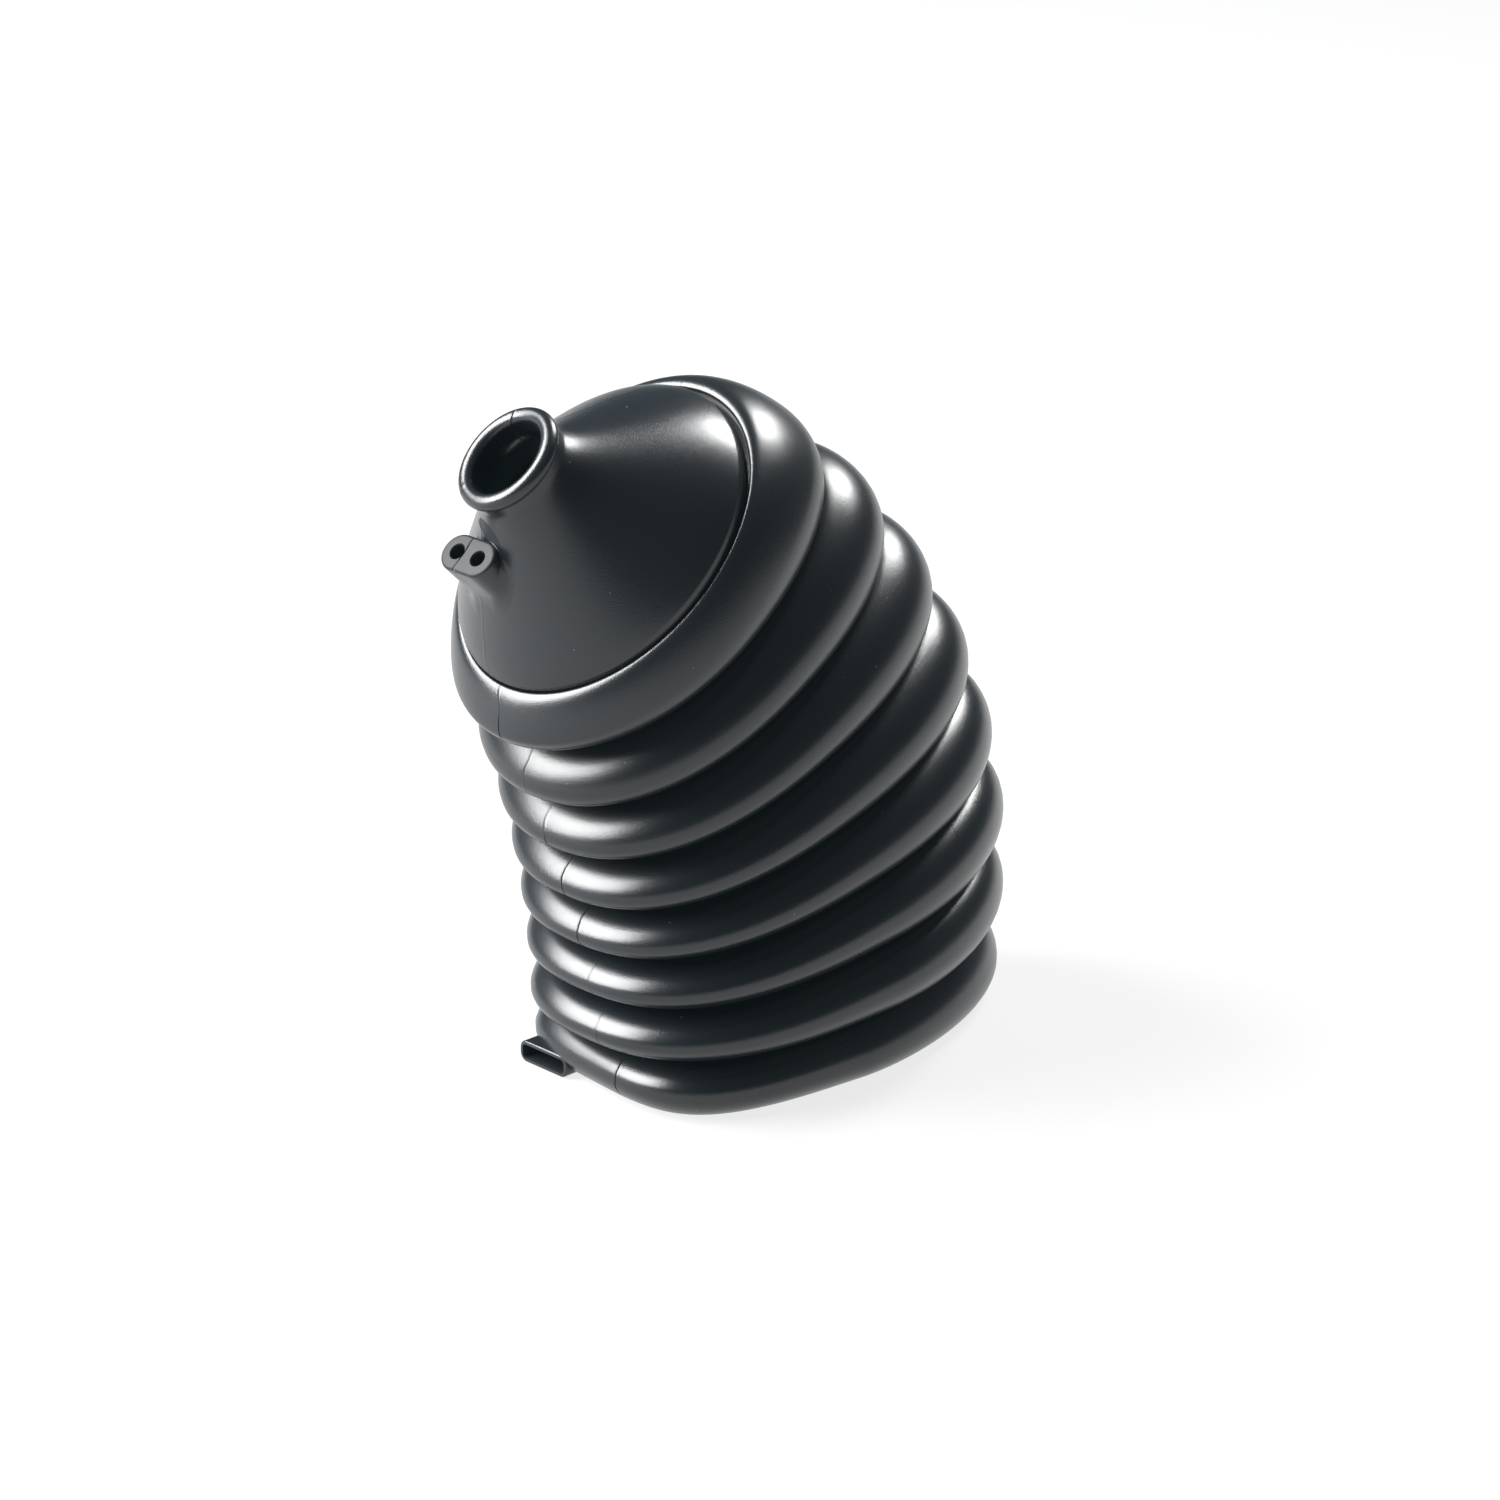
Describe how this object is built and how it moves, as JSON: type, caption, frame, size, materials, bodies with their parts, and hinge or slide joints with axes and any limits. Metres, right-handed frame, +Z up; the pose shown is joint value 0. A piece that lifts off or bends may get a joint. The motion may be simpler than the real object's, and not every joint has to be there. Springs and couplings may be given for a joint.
{
  "type": "bellows boot",
  "caption": "Leaning rubber bellows boot of stacked oval rolls with a domed cap, a round beaded neck, a small boss and a flat drain port.",
  "frame": {"origin": "on the plane of the base ring's foot, where the middle plane of the rolls meets the upright through the base oval's widest place", "axes": "+Z up, -X towards the side that the neck leans to, Y across the narrow width; the port lies on the +Y side"},
  "size_m": [0.1745, 0.0918, 0.1884],
  "materials": {
    "rubber": "satin moulded black"
  },
  "bodies": {
    "root": {"bellows_boot": "rubber"}
  },
  "joints": []
}
